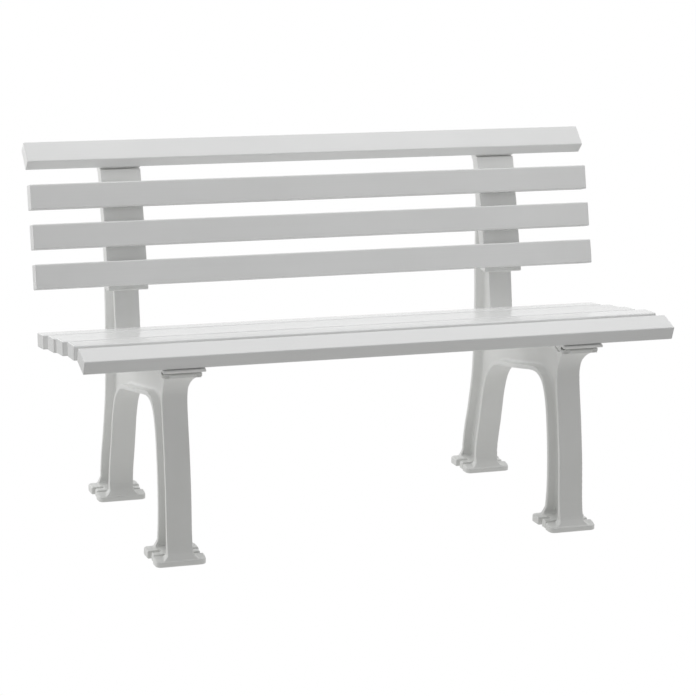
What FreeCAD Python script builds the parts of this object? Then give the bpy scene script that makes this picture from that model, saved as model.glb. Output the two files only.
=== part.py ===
import FreeCAD, Part
import os
import math

# Garden bench: nine hollow plastic slats on two moulded side frames.
# Millimetres. X runs along the bench, -Y is the front, +Z is up, floor at Z=0.
# The origin is the middle of the bounding box, on the floor.

# ---------------------------------------------------------------- dimensions
bench_length = 1200.0        # slats over their end caps
slat_width = 50.0            # slat section, wide side
slat_thick = 28.0            # slat section, narrow side
slat_corner_r = 3.0          # outside corner radius of the slat section
slat_wall = 2.5              # wall of the hollow section
slat_rib = 2.0               # the two inner ribs
slat_rib_offset = 9.0        # ribs stand this far either side of the middle
cap_plate = 3.0              # end cap plate thickness
cap_plug_length = 14.0       # how far the end cap plugs go into the chambers
cap_clearance = 0.25         # plug to chamber wall

frame_offset = 407.0         # middle of each side frame from the middle of the bench
flange_half = 25.0           # leg flanges, half width
post_half = 25.7             # back post flanges, half width
plate_half = 41.5            # seat and back support plates, half width
ledge_half = 39.5            # second layer under the front of the seat plate, half width
web_half = 5.0               # middle web, half thickness
plate_thick = 9.0            # support plate thickness
lip_depth = 25.0             # side lips of the back support plate, front to back
lip_thick = 6.5              # side lips, wall
fillet_r = 6.0               # web to flange fillet
pocket_corner_r = 8.0        # rounding of the pocket corners seen from the side
pocket_foot_r = 5.0          # the same at the foot plates

foot_half = 51.5             # foot plate half length along X, at its rear edge
foot_front_half = 49.5       # the same at its front edge
foot_height = 15.5           # foot plate thickness
foot_front_height = 10.5     # the plate thins to this at its front edge
foot_slope = 25.0            # over this length
foot_corner_r = 9.0          # rear corners seen from above
foot_front_corner_r = 11.0   # front corners
foot_under_r = 1.5           # rounding of the bottom edges
foot_edge_r = 3.5            # rounding of the top edges
foot_slot_width = 9.0        # anchor slots, open at the outer ends
foot_slots = ((31.0, 14.0), (57.0, 29.5))    # slot middle from the front edge, inner end from the frame middle
foot_prong_short = 5.5       # the middle prong stops this far short of the plate ends
foot_front = (-244.0, -148.5)    # front foot plate, front and rear edge
foot_rear = (197.0, 293.0)       # rear foot plate, front and rear edge

gap_bottom = 373.9           # gap between the front of the seat plate and the second layer
gap_top = 379.9
relief = 1.9                 # under the front slat
layer_depth = 34.0           # second layer, down from the top of the seat plate
slit = ((-197.0, 375.0), (-228.5, 366.1))     # the slit in its side, y and z of the two ends
slit_width = 4.2

screw_offset = 29.0          # screws from the frame middle, clear of the leg flanges
screw_offset_front = 33.0    # the same for the front slat
screw_recess_r = 5.2         # recess for the heads under the front slat, open to the gap in front of it
screw_recess_depth = 12.5
screw_shank_r = 2.4
screw_hole_r = 2.7
screw_pilot_r = 2.5
screw_head_r = 4.7
screw_head_h = 3.2
screw_length = 25.0          # under the head

# y of the profile points below is measured from a datum y_datum in front of the origin
y_datum = 17.26
Y = -y_datum

# slats: name, centre y, centre z, angle of the wide side above the horizontal
# (measured from the front edge to the rear or top edge)
seat_slats = [
    ("seat_1", -231.6, 408.0, 18.6),
    ("seat_2", -151.6, 409.1, -3.5),
    ("seat_3", -61.4, 396.0, -5.5),
    ("seat_4", 12.0, 384.8, -5.5),
    ("seat_5", 102.1, 370.7, -6.5),
]
back_slats = [
    ("back_1", 152.5, 488.0, 75.9),
    ("back_2", 173.4, 564.1, 75.9),
    ("back_3", 196.1, 639.8, 75.9),
    ("back_4", 234.7, 716.4, 43.0),
]

os.makedirs("parts", exist_ok=True)
V = FreeCAD.Vector


def export(shape, name):
    shape.exportStep("parts/" + name + ".step")


def pt(y, z, x=0.0):
    return V(x, y + Y, z)


def spline(points):
    c = Part.BSplineCurve()
    c.interpolate([pt(*p) for p in points])
    return c.toShape()


def poly(points):
    return [Part.makeLine(pt(*a), pt(*b)) for a, b in zip(points[:-1], points[1:])]


def slat_dirs(angle):
    """wide direction and the outward face normal of a slat, in y and z"""
    a = math.radians(angle)
    return (math.cos(a), math.sin(a)), (-math.sin(a), math.cos(a))


def under(slat):
    """the two ends of a slat's underside, front or bottom first"""
    n, cy, cz, ang = slat
    d, nn = slat_dirs(ang)
    my, mz = cy - nn[0] * slat_thick / 2, cz - nn[1] * slat_thick / 2
    h = slat_width / 2
    return (my - d[0] * h, mz - d[1] * h), (my + d[0] * h, mz + d[1] * h)


# ---------------------------------------------------------------- side frame profile
front_curve = [(-242.5, 8.0), (-240.6, 13.0), (-236.9, 19.0), (-232.6, 28.0), (-228.6, 43.0), (-225.6, 60), (-222, 95), (-219, 127), (-214.5, 159),
               (-209, 190), (-203.5, 222), (-196.5, 253), (-190, 284), (-186.5, 308),
               (-189.5, 331), (-203, 350), (-221, 362), (-241, 367)]

s1a, s1b = under(seat_slats[0])
s2a, s2b = under(seat_slats[1])
s3a, s3b = under(seat_slats[2])
s4a, s4b = under(seat_slats[3])
s5a, s5b = under(seat_slats[4])
b1a, b1b = under(back_slats[0])
b2a, b2b = under(back_slats[1])
b3a, b3b = under(back_slats[2])
b4a, b4b = under(back_slats[3])

pad_slope = (s1b[1] - s1a[1]) / (s1b[0] - s1a[0])
ring_front_top = (-241.0, s1a[1] + pad_slope * (-241.0 - s1a[0]))
seat_line = [ring_front_top, s1b, s2a, s2b, s3a, s3b, s4a, s4b, s5a, s5b, (138.0, 352.4)]
post_front = [(138.0, 352.4), (151.0, 355.0), (159.5, 365.0), (163.0, 384), (166.5, 402), (172, 430), (176.5, 452)]
plate_bottom_z = 452.0
back_line = [(158.0, 452.0), b1a, b1b, b2a, b2b, b3a, b3b, b4a, b4b]
rear_curve = [b4b, (267.0, 716.0), (266.5, 700.0), (264.0, 640), (262.0, 580), (259.5, 500), (255.5, 425), (251.5, 388), (250, 350),
              (249.5, 290), (250, 250), (252, 214), (254.5, 196), (258, 178), (262, 160),
              (266, 142), (271, 122), (276.5, 105), (282, 85), (286.5, 66), (289.5, 46),
              (291, 27), (291.5, 8.0)]
arch_curve = [(198.5, 8.0), (200.4, 13.0), (204.2, 19.0), (208.4, 28.0), (210.6, 43.0), (209.5, 60), (206, 78), (201.5, 97), (197, 117), (193.5, 136),
              (190, 155), (186.5, 175), (181.5, 193), (174.5, 212), (166, 227), (154, 240),
              (139, 251), (122, 258), (84, 265.5), (40, 273), (-21, 284.5), (-60, 291.5),
              (-82, 292.5), (-100, 288), (-114, 279), (-122.5, 268), (-130, 253),
              (-135.5, 238), (-141, 218), (-147, 188), (-153, 150), (-157, 110),
              (-158.5, 80), (-158, 60), (-156.5, 42), (-153.5, 25), (-150, 8.0)]


def frame_wire():
    edges = [spline(front_curve)]
    edges += poly([front_curve[-1]] + seat_line)
    edges += [spline(post_front)]
    edges += poly([post_front[-1]] + back_line)
    edges += [Part.makeLine(pt(*rear_curve[0]), pt(*rear_curve[1]))]
    edges += [spline(rear_curve[1:])]
    edges += poly([rear_curve[-1], arch_curve[0]])
    edges += [spline(arch_curve)]
    edges += poly([arch_curve[-1], front_curve[0]])
    return Part.Wire(Part.__sortEdges__(edges))


# ---- the pocket either side of the middle web, one flange thickness inside the profile
pocket_front = [(-217.7, 16.5), (-216, 60), (-213, 95), (-210, 127), (-205.5, 160), (-200, 191.5),
                (-194.5, 223.5), (-187.5, 254.5), (-181, 285), (-177.3, 309), (-178.5, 328),
                (-184, 350), (-187, 388.5)]
pocket_post = [(150.0, 341.5), (163.0, 350.0), (170.5, 366.0), (173.0, 384), (176, 402), (181, 430), (185.5, 452), (190, 480), (194, 510),
               (198.5, 540), (205.5, 575), (213.5, 605), (221, 635), (228, 665), (233.5, 684)]
pocket_rear = [(253.5, 702.5), (255.2, 690.0), (255, 640), (253, 580), (250.5, 500), (246.5, 425),
               (242.5, 388), (241, 350), (240.5, 290), (241, 250), (243, 215), (245.5, 197),
               (249, 180), (253, 162), (257.2, 144.5), (262.3, 124), (267.7, 107), (273.3, 87),
               (277.7, 68), (280.5, 50), (281.6, 16.5)]
pocket_arch = [(222.1, 16.5), (221, 44), (218.3, 62), (214.8, 80), (210.3, 99), (205.8, 119), (202.3, 137.5),
               (198.8, 157), (195.2, 177.5), (190, 196), (182.7, 216), (173.3, 232.5), (160, 247.5),
               (143.5, 259), (124.5, 267), (86, 274.3), (42, 281.8), (-19, 293.3), (-58.5, 300.4),
               (-82.5, 301.5), (-104, 296.3), (-120.5, 285.2), (-130.2, 272.5), (-138.2, 256.5),
               (-144.2, 240.5), (-149.8, 219.8), (-155.9, 189.4), (-161.9, 151), (-165.9, 110.7),
               (-167.5, 80), (-167, 58), (-165.5, 41), (-162.6, 16.5)]


def pocket_solid(s):
    """one pocket, from the web face out past the flange edges, with filleted floor"""
    edges = [spline(pocket_front)]
    edges += poly([pocket_front[-1], pocket_post[0]])
    edges += [spline(pocket_post)]
    edges += poly([pocket_post[-1], pocket_rear[0]])
    edges += [spline(pocket_rear)]
    edges += poly([pocket_rear[-1], pocket_arch[0]])
    edges += [spline(pocket_arch)]
    edges += poly([pocket_arch[-1], pocket_front[0]])
    f = Part.Face(Part.Wire(Part.__sortEdges__(edges)))
    f.translate(V(s * web_half, 0, 0))
    body = f.extrude(V(s * 60.0, 0, 0))
    sharp = []
    for e in body.Edges:
        a, b = e.valueAt(e.FirstParameter), e.valueAt(e.LastParameter)
        if abs(a.x - b.x) > 50.0 and abs(a.y - pocket_post[0][0] - Y) > 1.0:
            sharp.append(e)
    low = [e for e in sharp if e.valueAt(e.FirstParameter).z < 30.0]
    body = body.makeFillet(pocket_foot_r, low)
    sharp = []
    for e in body.Edges:
        a, b = e.valueAt(e.FirstParameter), e.valueAt(e.LastParameter)
        if abs(a.x - b.x) > 50.0 and a.z > 30.0 and abs(a.y - b.y) < 0.01 \
                and abs(a.y - pocket_post[0][0] - Y) > 1.0:
            sharp.append(e)
    body = body.makeFillet(pocket_corner_r, sharp)
    floor = [e for e in body.Edges
             if abs(e.valueAt(e.FirstParameter).x - s * web_half) < 0.1
             and abs(e.valueAt(e.LastParameter).x - s * web_half) < 0.1]
    return body.makeFillet(fillet_r, floor)


def prism(face, half):
    """a face in the x=0 plane, pushed out to both sides"""
    f = face.copy()
    f.translate(V(-half, 0, 0))
    return f.extrude(V(2 * half, 0, 0))


def poly_face(points):
    p = [pt(*q) for q in points]
    return Part.Face(Part.makePolygon(p + [p[0]]))


def strip(line, thick):
    """a band of the given thickness under a polyline (to its right-hand side)"""
    out = []
    n = len(line)
    for i, (y, z) in enumerate(line):
        dirs = []
        if i > 0:
            dirs.append((y - line[i - 1][0], z - line[i - 1][1]))
        if i < n - 1:
            dirs.append((line[i + 1][0] - y, line[i + 1][1] - z))
        ns = []
        for dy, dz in dirs:
            l = math.hypot(dy, dz)
            ns.append((dz / l, -dy / l))
        ny = sum(a[0] for a in ns) / len(ns)
        nz = sum(a[1] for a in ns) / len(ns)
        l2 = ny * ny + nz * nz
        out.append((y + ny * thick / l2, z + nz * thick / l2))
    return poly_face(list(line) + out[::-1])


def flare(z0, z1, h0, h1, y0, y1):
    """a block whose half width opens from h0 at z0 to h1 at z1 as a hollow curve"""
    pts = []
    for i in range(9):
        a = i / 8.0 * math.pi / 2
        pts.append((h0 + (h1 - h0) * (1 - math.cos(a)), z0 + (z1 - z0) * math.sin(a)))
    edges = []
    for s in (-1, 1):
        c = Part.BSplineCurve()
        c.interpolate([V(s * x, y0 + Y, z) for x, z in pts])
        edges.append(c.toShape())
    edges.append(Part.makeLine(V(-h0, y0 + Y, z0), V(h0, y0 + Y, z0)))
    edges.append(Part.makeLine(V(-h1, y0 + Y, z1), V(h1, y0 + Y, z1)))
    return Part.Face(Part.Wire(Part.__sortEdges__(edges))).extrude(V(0, y1 - y0, 0))


def foot_plate(y0, y1):
    f, h = foot_front_half, foot_half
    plan = [V(-f, y0 + Y, 0), V(f, y0 + Y, 0), V(h, y1 + Y, 0), V(-h, y1 + Y, 0)]
    b = Part.Face(Part.makePolygon(plan + [plan[0]])).extrude(V(0, 0, foot_height))
    vert = [e for e in b.Edges if abs(e.tangentAt(e.FirstParameter).z) > 0.99]
    b = b.makeFillet(foot_front_corner_r, [e for e in vert if e.CenterOfMass.y < y0 + Y + 1.0])
    vert = [e for e in b.Edges if abs(e.tangentAt(e.FirstParameter).z) > 0.99 and e.CenterOfMass.y > y1 + Y - 1.0]
    b = b.makeFillet(foot_corner_r, vert)
    b = b.makeFillet(foot_edge_r, [e for e in b.Edges if e.BoundBox.ZMin > foot_height - 0.01])
    b = b.makeFillet(foot_under_r, [e for e in b.Edges if e.BoundBox.ZMax < 0.01])
    fall = (foot_height - foot_front_height) / foot_slope
    over = prism(poly_face([(y0 - 5.0, foot_front_height - 5.0 * fall), (y0 + foot_slope, foot_height),
                            (y0 + foot_slope, foot_height + 9.0), (y0 - 5.0, foot_height + 9.0)]), foot_half + 5.0)
    b = only_solid(b.cut(over))
    front = [e for e in b.Edges if abs(e.tangentAt(e.FirstParameter).x) > 0.99
             and abs(e.CenterOfMass.y - y0 - Y) < 0.2 and e.CenterOfMass.z > 5.0]
    return b.makeFillet(2.5, front)


def foot_cuts(y0):
    """two slots each side, open outwards, leaving a shorter middle prong"""
    w = foot_slot_width / 2
    h = foot_height + 7.0
    cuts = []
    for s in (-1, 1):
        for off, inner in foot_slots:
            slot = Part.makeBox(foot_half - inner + 8, 2 * w, h + 1, V(inner, y0 + off - w + Y, -1))
            slot = slot.fuse(Part.makeCylinder(w, h + 1, V(inner, y0 + off + Y, -1)))
            cuts.append(slot if s > 0 else slot.mirror(V(0, 0, 0), V(1, 0, 0)))
        a, b = y0 + foot_slots[0][0] + w, y0 + foot_slots[1][0] - w
        nose = Part.makeBox(10, b - a, h + 1, V(foot_half - foot_prong_short, a + Y, -1))
        cuts.append(nose if s > 0 else nose.mirror(V(0, 0, 0), V(1, 0, 0)))
    return cuts


def only_solid(shape):
    return max(shape.Solids, key=lambda k: k.Volume)


def make_frame(side):
    face = Part.Face(frame_wire())
    # how wide the moulding is: flange width, opening out to the feet and under the seat front
    mask = Part.makeBox(2 * flange_half, 700, 800, V(-flange_half, -300, 0))
    mask = mask.fuse(Part.makeBox(2 * post_half, 350, 450, V(-post_half, 70, 345)))
    mask = mask.fuse(flare(27.0, 7.0, flange_half - 1.0, foot_half + 2.0, -270, 320))
    mask = mask.fuse(flare(320.0, 368.0, flange_half - 1.0, ledge_half, -270, -150))
    body = only_solid(prism(face, foot_half + 5.0).common(mask))
    for y0, y1 in (foot_front, foot_rear):
        wide = flare(42.0, 6.0, flange_half - 1.5, foot_half + 1.0, y0 + 62.0, y1 + 27.0)
        body = only_solid(body.fuse(prism(face, foot_half + 4.0).common(wide)))
    for s in (-1, 1):
        body = only_solid(body.cut(pocket_solid(s)))
    # seat plate, its front end standing proud of the leg
    pad_front = (-255.0, s1a[1] + pad_slope * (-255.0 - s1a[0]))
    seat_plate = [pad_front] + seat_line[1:]
    body = body.fuse(prism(strip(seat_plate, plate_thick), plate_half))
    # second layer under the front of the plate
    lay = [ring_front_top, s1b, s2a]
    body = body.fuse(prism(strip(lay, layer_depth), ledge_half).common(
        Part.makeBox(200, 120, 60, V(-100, -241.0 + Y, 367.0))))
    # back support plate with its side lips
    body = body.fuse(prism(strip(back_line, plate_thick), plate_half))
    lips = prism(strip(back_line, lip_depth), plate_half)
    hollow = Part.makeBox(2 * (plate_half - lip_thick), 400, 400, V(-(plate_half - lip_thick), 50, 400))
    lips = lips.cut(hollow).common(Part.makeBox(200, 400, 262.0, V(-100, 50 + Y, plate_bottom_z)))
    body = body.fuse(lips.Solids)
    for y0, y1 in (foot_front, foot_rear):
        body = body.fuse(foot_plate(y0, y1))
    body = only_solid(body.removeSplitter())
    for y0, y1 in (foot_front, foot_rear):
        for c in foot_cuts(y0):
            body = only_solid(body.cut(c))
    # gap between the front of the seat plate and its second layer
    body = only_solid(body.cut(Part.makeBox(200.0, 27.0, gap_top - gap_bottom, V(-100.0, -256.0 + Y, gap_bottom))))
    # relief along the front of the seat plate, under the front slat
    body = only_solid(body.cut(prism(strip([pad_front, (-239.0, s1a[1] + pad_slope * (-239.0 - s1a[0]))], relief), 60.0)))
    # grooves across the back plate: below the lowest slat, and under the top slat
    body = only_solid(body.cut(Part.makeBox(78.0, 15.2, 1.7, V(-39.0, 148.0 + Y, 457.2))))
    body = only_solid(body.cut(Part.makeBox(200.0, 21.0, 3.0, V(-100.0, 214.0 + Y, b4a[1] - 3.4))))
    # slit in the side of the second layer, on the side facing the other frame
    (ya, za), (yb, zb) = slit
    length = math.hypot(yb - ya, zb - za)
    cut = Part.makeBox(18.0, length, slit_width, V(-9.0, -length / 2, -slit_width / 2))
    cut.rotate(V(0, 0, 0), V(1, 0, 0), math.degrees(math.atan2(za - zb, ya - yb)))
    cut.translate(V(-side * (ledge_half - 2.5), (ya + yb) / 2 + Y, (za + zb) / 2))
    body = only_solid(body.cut(cut))
    # screw holes through the support plates
    for sl in seat_slats + back_slats:
        for s in (-1, 1):
            body = body.cut(screw_axis_solid(sl, s * screw_x(sl), screw_hole_r, 1.0, -plate_thick - 14))
            if sl is seat_slats[0]:
                body = body.cut(screw_axis_solid(sl, s * screw_x(sl), screw_recess_r, -plate_thick,
                                                 -plate_thick - screw_recess_depth))
                body = body.cut(Part.makeBox(2 * screw_recess_r, 12.0, gap_top - gap_bottom,
                                             V(s * screw_x(sl) - screw_recess_r, -231.0 + Y, gap_bottom)))
    return only_solid(body)


def screw_x(slat):
    return screw_offset_front if slat is seat_slats[0] else screw_offset


def screw_axis_solid(slat, x, r, top, bottom):
    """a cylinder on the screw line, between two heights measured from the slat's underside"""
    n, cy, cz, ang = slat
    d, nn = slat_dirs(ang)
    by = cy + nn[0] * (top - slat_thick / 2)
    bz = cz + nn[1] * (top - slat_thick / 2)
    return Part.makeCylinder(r, top - bottom, V(x, by + Y, bz), V(0, -nn[0], -nn[1]))


def local(shape, slat, x=0.0):
    """place a shape built flat (wide side along Y, outward face up) onto a slat"""
    n, cy, cz, ang = slat
    s = shape.copy()
    s.rotate(V(0, 0, 0), V(1, 0, 0), ang)
    s.translate(V(x, cy + Y, cz))
    return s


def section(w, t, r):
    b = Part.makeBox(1.0, w, t, V(0, -w / 2, -t / 2))
    e = [k for k in b.Edges if abs(k.tangentAt(k.FirstParameter).x) > 0.99]
    return b.makeFillet(r, e) if r > 0 else b


def bar(w, t, r, x0, x1, yc=0.0):
    b = Part.makeBox(x1 - x0, w, t, V(x0, yc - w / 2, -t / 2))
    e = [k for k in b.Edges if abs(k.tangentAt(k.FirstParameter).x) > 0.99]
    return b.makeFillet(r, e)


def chambers():
    """centre and width of the three chambers across the slat"""
    inner = slat_width / 2 - slat_wall
    c = slat_rib_offset
    mid = 2 * c - slat_rib
    side = inner - c - slat_rib / 2
    return [(0.0, mid), (c + slat_rib / 2 + side / 2, side), (-(c + slat_rib / 2 + side / 2), side)]


def make_slat(slat):
    half = bench_length / 2 - cap_plate
    b = bar(slat_width, slat_thick, slat_corner_r, -half, half)
    for yc, w in chambers():
        b = b.cut(bar(w, slat_thick - 2 * slat_wall, 1.0, -half - 1, half + 1, yc))
    for fx in (-frame_offset, frame_offset):
        for s in (-1, 1):
            b = b.cut(Part.makeCylinder(screw_pilot_r, slat_wall + 1.0,
                                        V(fx + s * screw_x(slat), 0, -slat_thick / 2 - 0.5)))
    return local(b, slat)


def make_cap(slat, side):
    half = bench_length / 2
    b = bar(slat_width, slat_thick, slat_corner_r, half - cap_plate, half)
    rim = [e for e in b.Edges if e.BoundBox.XMin > half - 0.01]
    b = b.makeFillet(1.2, rim)
    for yc, w in chambers():
        b = b.fuse(bar(w - 2 * cap_clearance, slat_thick - 2 * slat_wall - 2 * cap_clearance, 0.8,
                       half - cap_plate - cap_plug_length, half - cap_plate, yc).cut(
            bar(w - 2 * cap_clearance - 3.6, slat_thick - 2 * slat_wall - 2 * cap_clearance - 3.6, 0.4,
                half - cap_plate - cap_plug_length - 1, half - cap_plate, yc)))
    b = b.removeSplitter()
    if side < 0:
        b = b.mirror(V(0, 0, 0), V(1, 0, 0))
    return local(b, slat)


def make_screw():
    """head down, shank up, underside of the head at z=0"""
    head = Part.makeCylinder(screw_head_r, screw_head_h, V(0, 0, -screw_head_h))
    low = [e for e in head.Edges if e.BoundBox.ZMax < -screw_head_h + 0.01]
    head = head.makeFillet(1.4, low)
    for a in (0, 90):
        s = Part.makeBox(5.0, 1.1, 1.8, V(-2.5, -0.55, -screw_head_h - 0.1))
        s.rotate(V(0, 0, 0), V(0, 0, 1), a)
        head = head.cut(s)
    shank = Part.makeCylinder(screw_shank_r, screw_length - 5.0)
    tip = Part.makeCone(screw_shank_r, 0.5, 5.0, V(0, 0, screw_length - 5.0))
    return head.fuse([shank, tip]).removeSplitter()


def make_screws(slat):
    s = make_screw()
    out = []
    for fx in (-frame_offset, frame_offset):
        for k in (-1, 1):
            c = s.copy()
            c.translate(V(0, 0, -slat_thick / 2 - plate_thick))
            out.append(local(c, slat, fx + k * screw_x(slat)))
    return Part.makeCompound(out)


frame = make_frame(1)
for side, name in ((-1, "frame_left"), (1, "frame_right")):
    f = frame.copy() if side > 0 else frame.mirror(V(0, 0, 0), V(1, 0, 0))
    f.translate(V(side * frame_offset, 0, 0))
    export(f, name)

for sl in seat_slats + back_slats:
    export(make_slat(sl), "slat_" + sl[0])
    export(make_cap(sl, -1), "cap_" + sl[0] + "_left")
    export(make_cap(sl, 1), "cap_" + sl[0] + "_right")
    export(make_screws(sl), "screws_" + sl[0])

print("frame", frame.isValid(), len(frame.Solids), frame.Volume / 1000.0, frame.BoundBox)
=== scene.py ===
import math
import bpy
import bmesh
from mathutils import Matrix, Vector

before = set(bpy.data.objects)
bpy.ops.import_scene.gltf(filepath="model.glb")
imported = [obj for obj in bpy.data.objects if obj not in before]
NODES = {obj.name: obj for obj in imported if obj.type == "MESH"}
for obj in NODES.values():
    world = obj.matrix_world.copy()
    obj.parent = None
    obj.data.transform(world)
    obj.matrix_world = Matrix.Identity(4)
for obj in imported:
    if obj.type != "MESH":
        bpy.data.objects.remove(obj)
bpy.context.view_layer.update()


# ------------------------------------------------------------------ node helpers
class Graph:
    def __init__(self, mat):
        self.nt = mat.node_tree
        self.nt.nodes.clear()
        self.n = 0

    def add(self, kind, **props):
        node = self.nt.nodes.new(kind)
        node.location = (self.n * 190, -(self.n % 5) * 150)
        self.n += 1
        for k, v in props.items():
            setattr(node, k, v)
        return node

    def link(self, a, b):
        self.nt.links.new(a, b)

    def noise(self, vec, scale, detail=3.0, rough=0.5, stretch=None):
        if stretch is not None:
            m = self.add("ShaderNodeMapping")
            m.inputs["Scale"].default_value = stretch
            self.link(vec, m.inputs["Vector"])
            vec = m.outputs["Vector"]
        t = self.add("ShaderNodeTexNoise")
        t.inputs["Scale"].default_value = scale
        t.inputs["Detail"].default_value = detail
        t.inputs["Roughness"].default_value = rough
        self.link(vec, t.inputs["Vector"])
        return t.outputs["Fac"]

    def remap(self, val, lo, hi, a=0.35, b=0.65):
        m = self.add("ShaderNodeMapRange")
        m.inputs["From Min"].default_value = a
        m.inputs["From Max"].default_value = b
        m.inputs["To Min"].default_value = lo
        m.inputs["To Max"].default_value = hi
        self.link(val, m.inputs["Value"])
        return m.outputs["Result"]

    def math(self, op, a, b):
        m = self.add("ShaderNodeMath", operation=op)
        for i, v in enumerate((a, b)):
            if isinstance(v, (int, float)):
                m.inputs[i].default_value = v
            else:
                self.link(v, m.inputs[i])
        return m.outputs[0]

    def mix_color(self, fac, a, b):
        m = self.add("ShaderNodeMix", data_type="RGBA")
        m.inputs["A"].default_value = (*a, 1.0) if not hasattr(a, "is_linked") else (1, 1, 1, 1)
        m.inputs["B"].default_value = (*b, 1.0)
        if hasattr(a, "is_linked"):
            self.link(a, m.inputs["A"])
        self.link(fac, m.inputs["Factor"])
        return m.outputs["Result"]

    def shade(self, color, fac, mult):
        """darken a colour by mult where fac is 1"""
        m = self.add("ShaderNodeMix", data_type="RGBA", blend_type="MULTIPLY")
        m.inputs["B"].default_value = (*mult, 1.0)
        self.link(color, m.inputs["A"])
        self.link(fac, m.inputs["Factor"])
        return m.outputs["Result"]

    def height(self, vec, z0, z1):
        """0 at z0, 1 at z1 and above"""
        sep = self.add("ShaderNodeSeparateXYZ")
        self.link(vec, sep.inputs["Vector"])
        return self.remap(sep.outputs["Z"], 0.0, 1.0, z0, z1)

    def bump(self, height, strength, distance, normal=None):
        b = self.add("ShaderNodeBump")
        b.inputs["Strength"].default_value = strength
        b.inputs["Distance"].default_value = distance
        self.link(height, b.inputs["Height"])
        if normal is not None:
            self.link(normal, b.inputs["Normal"])
        return b.outputs["Normal"]


def new_mat(name):
    m = bpy.data.materials.new(name)
    m.use_nodes = True
    return m


def finish_mat(g, color, rough, normal, ior=1.49, spec=0.5, metallic=0.0):
    p = g.add("ShaderNodeBsdfPrincipled")
    p.inputs["IOR"].default_value = ior
    p.inputs["Specular IOR Level"].default_value = spec
    p.inputs["Metallic"].default_value = metallic
    g.link(color, p.inputs["Base Color"])
    g.link(rough, p.inputs["Roughness"])
    g.link(normal, p.inputs["Normal"])
    out = g.add("ShaderNodeOutputMaterial")
    g.link(p.outputs["BSDF"], out.inputs["Surface"])


def slat_material(name="slat_plastic_white", tint=(0.83, 0.834, 0.832)):
    """extruded white plastic: die lines along the slat, soft gloss, faint handling marks"""
    m = new_mat(name)
    g = Graph(m)
    co = g.add("ShaderNodeTexCoord").outputs["Object"]
    die = g.noise(co, 1.0, 4.0, 0.62, stretch=(0.9, 330.0, 330.0))
    wave = g.noise(co, 1.0, 2.0, 0.4, stretch=(3.0, 40.0, 40.0))
    cloud = g.noise(co, 3.2, 4.0, 0.55)
    grain = g.noise(co, 900.0, 2.0, 0.5)
    scuff = g.noise(co, 1.0, 5.0, 0.7, stretch=(14.0, 90.0, 90.0))
    low = tuple(c * 0.955 for c in tint)
    c1 = g.mix_color(g.remap(cloud, 0.0, 0.8), tint, low)
    c2 = g.mix_color(g.remap(die, 0.0, 0.35, 0.45, 0.75), c1, tuple(c * 0.95 for c in tint))
    r = g.math("ADD", g.remap(cloud, 0.11, 0.16), g.remap(scuff, 0.0, 0.08, 0.5, 0.8))
    r = g.math("ADD", r, g.remap(grain, -0.015, 0.015))
    n = g.bump(wave, 0.08, 0.0005)
    n = g.bump(die, 0.08, 0.0002, n)
    n = g.bump(grain, 0.04, 0.0001, n)
    finish_mat(g, c2, r, n)
    return m


def mould_material(name, tint, low=None, fine=520.0, rough=(0.30, 0.40), bump=0.18):
    """moulded white plastic: fine spark-eroded grain, faint flow clouds"""
    m = new_mat(name)
    g = Graph(m)
    co = g.add("ShaderNodeTexCoord").outputs["Object"]
    cloud = g.noise(co, 5.0, 5.0, 0.6)
    flow = g.noise(co, 1.0, 3.0, 0.6, stretch=(24.0, 24.0, 7.0))
    grain = g.noise(co, fine, 3.0, 0.62)
    orange = g.noise(co, 90.0, 2.0, 0.5)
    # painted shade: the colour goes a little greyer towards the ground, standing in for the dimmer light on the lower
    # legs and feet
    c0 = g.mix_color(g.height(co, 0.03, 0.36), low or tint, tint)
    c1 = g.shade(c0, g.remap(cloud, 0.0, 0.9), (0.955, 0.955, 0.955))
    c2 = g.shade(c1, g.remap(flow, 0.0, 0.35, 0.5, 0.75), (0.95, 0.955, 0.935))
    r = g.math("ADD", g.remap(cloud, rough[0], rough[1]), g.remap(grain, -0.04, 0.04))
    n = g.bump(orange, 0.10, 0.0004)
    n = g.bump(grain, bump, 0.00015, n)
    finish_mat(g, c2, r, n)
    return m


def screw_material():
    m = new_mat("zinc_plated_steel")
    g = Graph(m)
    co = g.add("ShaderNodeTexCoord").outputs["Object"]
    spot = g.noise(co, 260.0, 4.0, 0.6)
    fine = g.noise(co, 1400.0, 2.0, 0.5)
    c = g.mix_color(g.remap(spot, 0.0, 1.0), (0.60, 0.61, 0.62), (0.46, 0.47, 0.47))
    r = g.math("ADD", g.remap(spot, 0.28, 0.46), g.remap(fine, -0.03, 0.03))
    n = g.bump(fine, 0.15, 0.00008)
    finish_mat(g, c, r, n, metallic=1.0)
    return m


MAT = {
    "slat": slat_material(),
    # the frame's low tint is painted shade: the moulding is drawn greyer towards the ground
    "frame": mould_material("frame_plastic_white", (0.880, 0.884, 0.874), low=(0.745, 0.750, 0.737)),
    "cap": mould_material("cap_plastic_white", (0.795, 0.80, 0.798), fine=700.0, rough=(0.24, 0.34), bump=0.12),
    "screw": screw_material(),
}


def paint(obj, mat):
    if not obj.material_slots:
        obj.data.materials.append(mat)
    for s in obj.material_slots:
        s.material = mat


for name, obj in NODES.items():
    key = "slat" if name.startswith("slat") else "cap" if name.startswith("cap") else \
        "screw" if name.startswith("screws") else "frame"
    paint(obj, MAT[key])

# ------------------------------------------------------------------ frame mouldings: soft edges and fillets
for name in ("frame_left", "frame_right"):
    o = NODES[name]
    w = o.modifiers.new("weld", "WELD")
    w.merge_threshold = 0.00002
    r = o.modifiers.new("skin", "REMESH")
    r.mode = "VOXEL"
    r.voxel_size = 0.0012
    r.use_smooth_shade = True
    s = o.modifiers.new("soften", "SMOOTH")
    s.factor = 0.5
    s.iterations = 4

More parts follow.
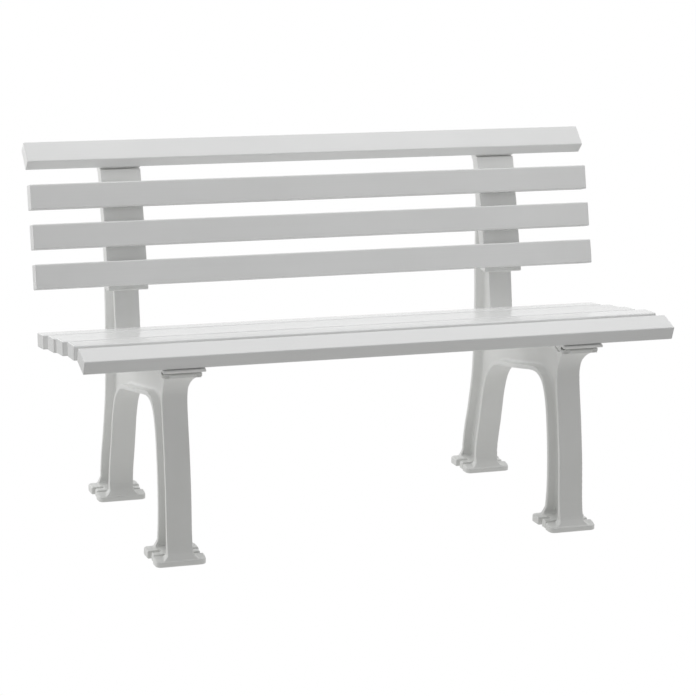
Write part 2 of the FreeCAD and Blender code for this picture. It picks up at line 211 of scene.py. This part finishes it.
# ------------------------------------------------------------------ stage
def plane(name, size, z, mat):
    me = bpy.data.meshes.new(name)
    bm = bmesh.new()
    bmesh.ops.create_grid(bm, x_segments=4, y_segments=4, size=size / 2)
    bm.to_mesh(me)
    bm.free()
    o = bpy.data.objects.new(name, me)
    o.location = (0, 0, z)
    bpy.context.scene.collection.objects.link(o)
    me.materials.append(mat)
    return o


def glow(name, color, strength):
    m = new_mat(name)
    nt = m.node_tree
    nt.nodes.clear()
    e = nt.nodes.new("ShaderNodeEmission")
    e.inputs["Color"].default_value = (*color, 1.0)
    e.inputs["Strength"].default_value = strength
    out = nt.nodes.new("ShaderNodeOutputMaterial")
    nt.links.new(e.outputs[0], out.inputs["Surface"])
    return m


def only_camera(o):
    o.visible_diffuse = False
    o.visible_glossy = False
    o.visible_transmission = False
    o.visible_shadow = False
    o.visible_volume_scatter = False


# light sent back by the floor: beside the bench, around it, and from the far floor
NEAR_BOUNCE = 0.675
ROOM_BOUNCE = 0.413
FAR_BOUNCE = 1.002
floor = plane("studio_floor", 90.0, -0.0012, glow("floor_white", (1.0, 1.0, 1.0), 1.0))
only_camera(floor)
for tag, size, z, strength in (("far", (90.0, 90.0), -0.0026, FAR_BOUNCE), ("room", (8.0, 8.0), -0.0024, ROOM_BOUNCE),
                               ("near", (1.5, 1.1), -0.0022, NEAR_BOUNCE)):
    sheet = plane("studio_bounce_" + tag, 1.0, z, glow("bounce_" + tag, (1.0, 1.0, 0.985), strength))
    sheet.scale = (*size, 1.0)
    sheet.visible_camera = False
me = bpy.data.meshes.new("studio_backdrop")
bm = bmesh.new()
bmesh.ops.create_uvsphere(bm, u_segments=32, v_segments=16, radius=44.0)
bm.to_mesh(me)
bm.free()
dome = bpy.data.objects.new("studio_backdrop", me)
bpy.context.scene.collection.objects.link(dome)
me.materials.append(glow("backdrop_white", (1.0, 1.0, 1.0), 1.0))
only_camera(dome)

# soft studio light: a graded surround, brightest overhead and to the left
world = bpy.data.worlds.new("studio")
bpy.context.scene.world = world
world.use_nodes = True
nt = world.node_tree
nt.nodes.clear()
tc = nt.nodes.new("ShaderNodeTexCoord")


def wmath(op, a, b):
    m = nt.nodes.new("ShaderNodeMath")
    m.operation = op
    for i, v in enumerate((a, b)):
        if isinstance(v, (int, float)):
            m.inputs[i].default_value = v
        else:
            nt.links.new(v, m.inputs[i])
    return m.outputs[0]


# each row: direction, tightness, strength of one broad soft source
SOFT_SOURCES = [
    ((0.0000, 0.0000, 1.0000), 7.0, 0.710),
    ((-0.6691, -0.0000, 0.7431), 8.0, 0.101),
    ((-0.4731, 0.4731, 0.7431), 8.0, 0.468),
    ((-0.0000, 0.6691, 0.7431), 8.0, 0.311),
    ((0.4731, 0.4731, 0.7431), 8.0, 0.237),
    ((0.6691, 0.0000, 0.7431), 8.0, 0.330),
    ((0.4731, -0.4731, 0.7431), 8.0, 0.203),
    ((-0.0000, -0.9781, 0.2079), 12.0, 0.119),
    ((-0.4891, -0.8471, 0.2079), 12.0, 0.261),
    ((-0.8471, -0.4891, 0.2079), 12.0, 0.288),
    ((-0.9781, -0.0000, 0.2079), 12.0, 0.437),
    ((-0.8471, 0.4891, 0.2079), 12.0, 0.759),
    ((-0.4891, 0.8471, 0.2079), 12.0, 0.783),
    ((-0.0000, 0.9781, 0.2079), 12.0, 0.575),
    ((0.4891, 0.8471, 0.2079), 12.0, 0.465),
    ((0.8471, 0.4891, 0.2079), 12.0, 0.480),
    ((0.9781, 0.0000, 0.2079), 12.0, 0.382),
    ((0.8471, -0.4891, 0.2079), 12.0, 0.223),
    ((0.4891, -0.8471, 0.2079), 12.0, 0.052),
    ((-0.1732, 0.9824, 0.0698), 45.0, 0.224),
    ((0.3412, 0.9374, 0.0698), 45.0, 0.218),
    ((0.7642, 0.6412, 0.0698), 45.0, 0.153),
]
total = None
for direction, tight, strength in SOFT_SOURCES:
    dot = nt.nodes.new("ShaderNodeVectorMath")
    dot.operation = "DOT_PRODUCT"
    nt.links.new(tc.outputs["Generated"], dot.inputs[0])
    dot.inputs[1].default_value = direction
    ex = wmath("MULTIPLY", dot.outputs["Value"], tight)
    ex = wmath("SUBTRACT", ex, tight)
    ex = wmath("POWER", math.e, ex)
    ex = wmath("MULTIPLY", ex, strength)
    total = ex if total is None else wmath("ADD", total, ex)
bg = nt.nodes.new("ShaderNodeBackground")
nt.links.new(total, bg.inputs["Strength"])
bg.inputs["Color"].default_value = (1.0, 1.0, 1.0, 1.0)
wo = nt.nodes.new("ShaderNodeOutputWorld")
nt.links.new(bg.outputs[0], wo.inputs["Surface"])


def area(name, loc, target, size, power):
    d = bpy.data.lights.new(name, "AREA")
    d.shape = "RECTANGLE"
    d.size, d.size_y = size
    d.energy = power
    o = bpy.data.objects.new(name, d)
    o.location = loc
    o.rotation_euler = (Vector(target) - Vector(loc)).to_track_quat("-Z", "Y").to_euler()
    bpy.context.scene.collection.objects.link(o)
    o.visible_camera = False
    return o


# softboxes near the bench: position, aim, size, watts
SOFTBOXES = [
    ("overhead", (0.0, 0.0, 1.9), (0.0, 0.0, 0.4), (1.6, 1.2), 3.78),
    ("front_high", (0.0, -1.5, 1.8), (0.0, 0.0, 0.4), (1.6, 0.8), 2.36),
    ("left_high", (-1.6, -0.3, 1.6), (0.0, 0.0, 0.4), (1.0, 1.0), 1.29),
    ("right_high", (1.6, -0.3, 1.6), (0.0, 0.0, 0.4), (1.0, 1.0), 7.15),
    ("back_high", (0.0, 1.5, 1.6), (0.0, 0.0, 0.4), (1.6, 0.8), 3.08),
    ("left_low", (-1.8, 0.6, 0.6), (0.0, 0.0, 0.4), (0.8, 0.8), 5.17),
    ("left_over", (-0.9, 0.1, 1.5), (0.0, 0.0, 0.4), (0.8, 0.8), 1.08),
    ("right_low", (1.8, 0.6, 0.6), (0.0, 0.0, 0.4), (0.8, 0.8), 3.46),
]
for row in SOFTBOXES:
    area(*row)

# ------------------------------------------------------------------ camera
Y_DATUM = 0.01726
cam_pos = Vector((-1.66139, -4.59741 - Y_DATUM, 1.50592))
yaw, pitch, roll = math.radians(19.930), math.radians(13.349), math.radians(1.364)
F = Vector((math.sin(yaw) * math.cos(pitch), math.cos(yaw) * math.cos(pitch), -math.sin(pitch)))
R = Vector((math.cos(yaw), -math.sin(yaw), 0.0))
U = R.cross(F)
R2 = math.cos(roll) * R + math.sin(roll) * U
U2 = -math.sin(roll) * R + math.cos(roll) * U
cam_data = bpy.data.cameras.new("camera")
cam_data.sensor_fit = "HORIZONTAL"
cam_data.sensor_width = 36.0
cam_data.lens = 2503.13 * 36.0 / 696.0
cam_data.clip_start = 0.05
cam_data.clip_end = 200.0
cam = bpy.data.objects.new("camera", cam_data)
cam.matrix_world = Matrix(((R2.x, U2.x, -F.x, cam_pos.x),
                           (R2.y, U2.y, -F.y, cam_pos.y),
                           (R2.z, U2.z, -F.z, cam_pos.z),
                           (0, 0, 0, 1)))
bpy.context.scene.collection.objects.link(cam)
bpy.context.scene.camera = cam

bpy.context.scene.view_settings.view_transform = "Standard"
bpy.context.scene.view_settings.look = "None"
bpy.context.scene.view_settings.exposure = 0.0
bpy.context.scene.view_settings.gamma = 1.0

bpy.context.view_layer.update()
